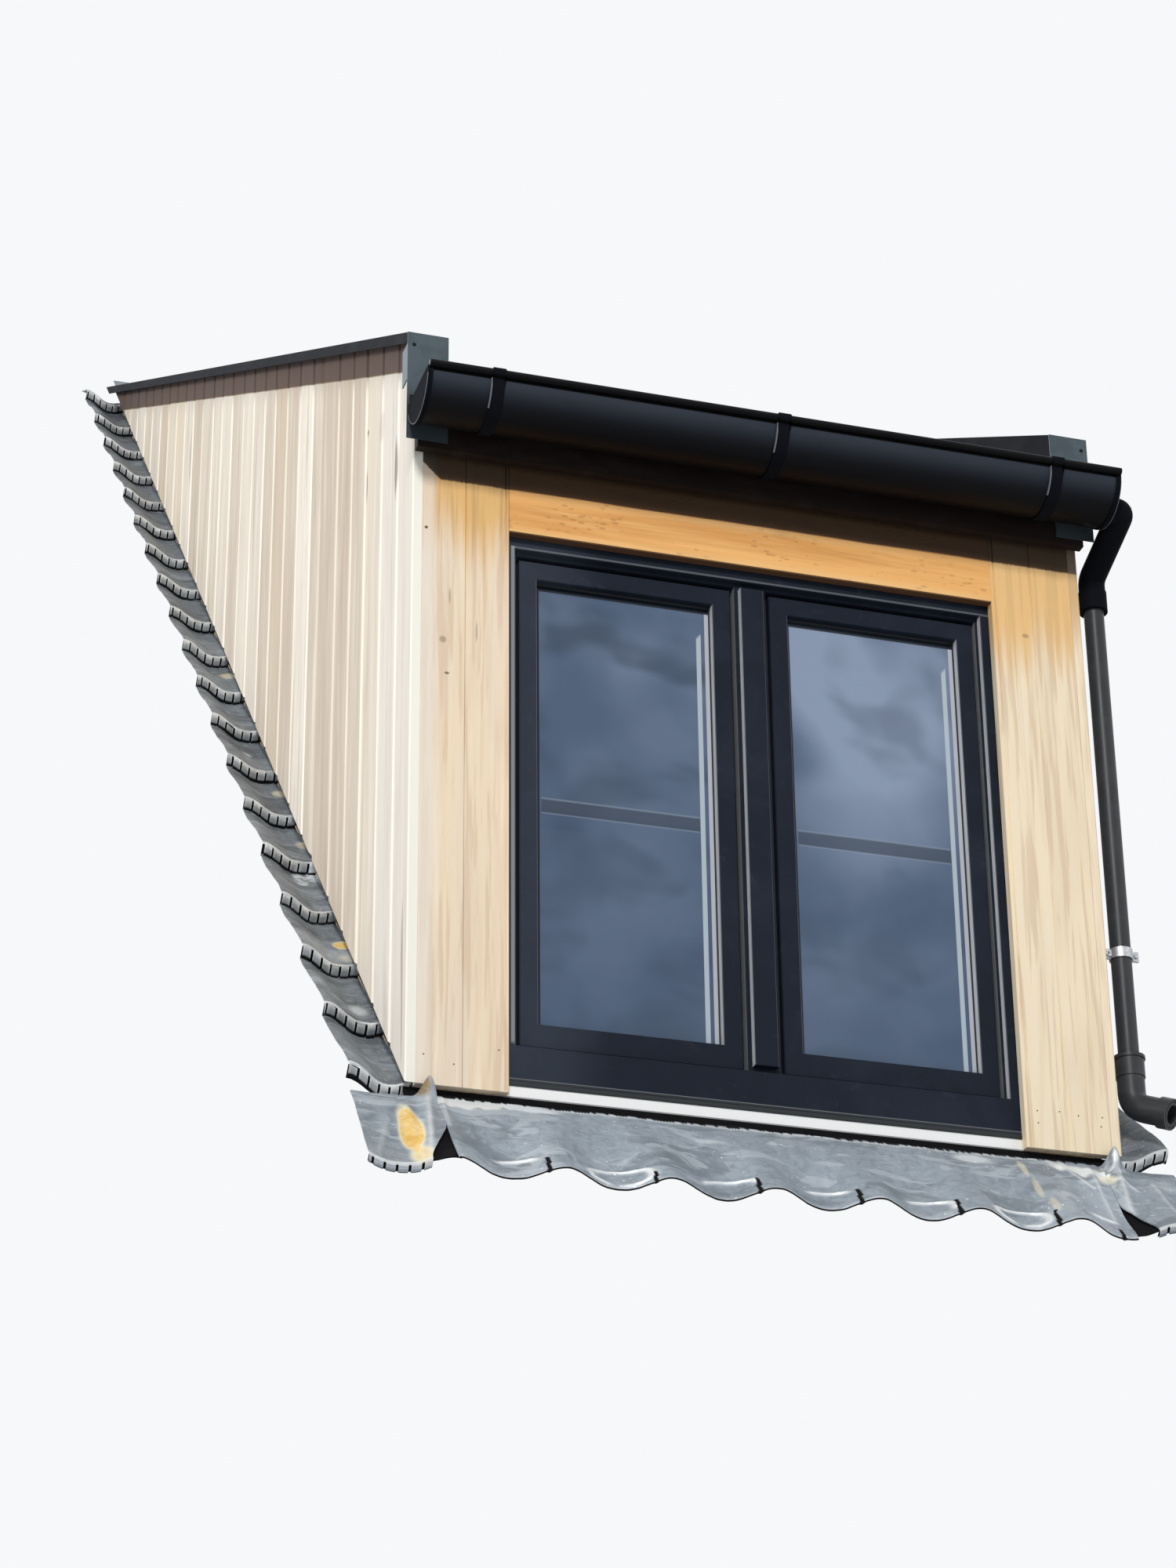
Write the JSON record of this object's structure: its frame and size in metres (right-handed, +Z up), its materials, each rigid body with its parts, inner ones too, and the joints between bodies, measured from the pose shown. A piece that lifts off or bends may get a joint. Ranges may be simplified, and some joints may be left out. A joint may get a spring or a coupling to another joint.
{
  "type": "dormer window",
  "caption": "Lean-to dormer window with triangular timber-clad cheeks, two-light window, half-round gutter, downpipe and lead flashings, for a pitched roof.",
  "frame": {"origin": "middle of the front sill beam's sloped underside, which rests on the main roof's rafters", "axes": "+X along the front, to the right seen from outside; +Y level into the building; +Z up. The underside slopes up at 45 degrees towards +Y"},
  "size_m": [1.7396, 4.4165, 4.3879],
  "materials": {
    "softwood": "sawn structural softwood, matt",
    "sheathing_board": "pressed strand board, matt",
    "lining_board": "paper-faced plasterboard, unpainted",
    "cheek_boards": "planed cedar, weathered pale, clear",
    "front_boards": "planed cedar, honey coloured",
    "lintel_board": "planed cedar, orange tan",
    "membrane": "smooth roofing rubber, matt",
    "black_trim": "black powder coat, satin",
    "grey_plate": "dark grey coat, satin",
    "gutter_black": "black plastic, satin",
    "downpipe_grey": "dark grey plastic, satin",
    "steel": "zinc plated steel",
    "window_black": "dark grey foiled plastic, fine grain",
    "bar_grey": "grey bar on the room side",
    "glazing": "clear double glazing",
    "white_sill": "white plastic",
    "lead": "sheet lead, grey patina, mottled"
  },
  "bodies": {
    "root": {"downpipe": "downpipe_grey", "downpipe_clamp": "steel", "downpipe_neck": "downpipe_grey", "downpipe_shoe": "downpipe_grey", "fascia_board": "black_trim", "front_apron": "lead", "front_posts": "softwood", "front_sheathing": "sheathing_board", "front_sill_beam": "softwood", "glazing_bars": "bar_grey", "gutter": "gutter_black", "gutter_brackets": "gutter_black", "gutter_ends": "gutter_black", "header_beam": "softwood", "lay_board": "softwood", "left_battens": "softwood", "left_cheek_cladding": "cheek_boards", "left_cheek_lining": "lining_board", "left_cheek_sheathing": "sheathing_board", "left_cheek_studs": "softwood", "left_corner_flashing": "lead", "left_front_boards": "front_boards", "left_glass": "glazing", "left_sash": "window_black", "left_side_flashing": "lead", "left_verge_end_plate": "grey_plate", "left_verge_trim": "black_trim", "lintel_board": "lintel_board", "right_battens": "softwood", "right_cheek_cladding": "cheek_boards", "right_cheek_lining": "lining_board", "right_cheek_sheathing": "sheathing_board", "right_cheek_studs": "softwood", "right_corner_flashing": "lead", "right_front_boards": "front_boards", "right_glass": "glazing", "right_sash": "window_black", "right_side_flashing": "lead", "right_verge_end_plate": "grey_plate", "right_verge_trim": "black_trim", "roof_deck": "sheathing_board", "roof_membrane": "membrane", "roof_rafters": "softwood", "sole_plates": "softwood", "sub_sill": "white_sill", "top_flashing": "lead", "verge_kerbs": "softwood", "window_frame": "window_black", "window_mullion": "window_black"}
  },
  "joints": []
}
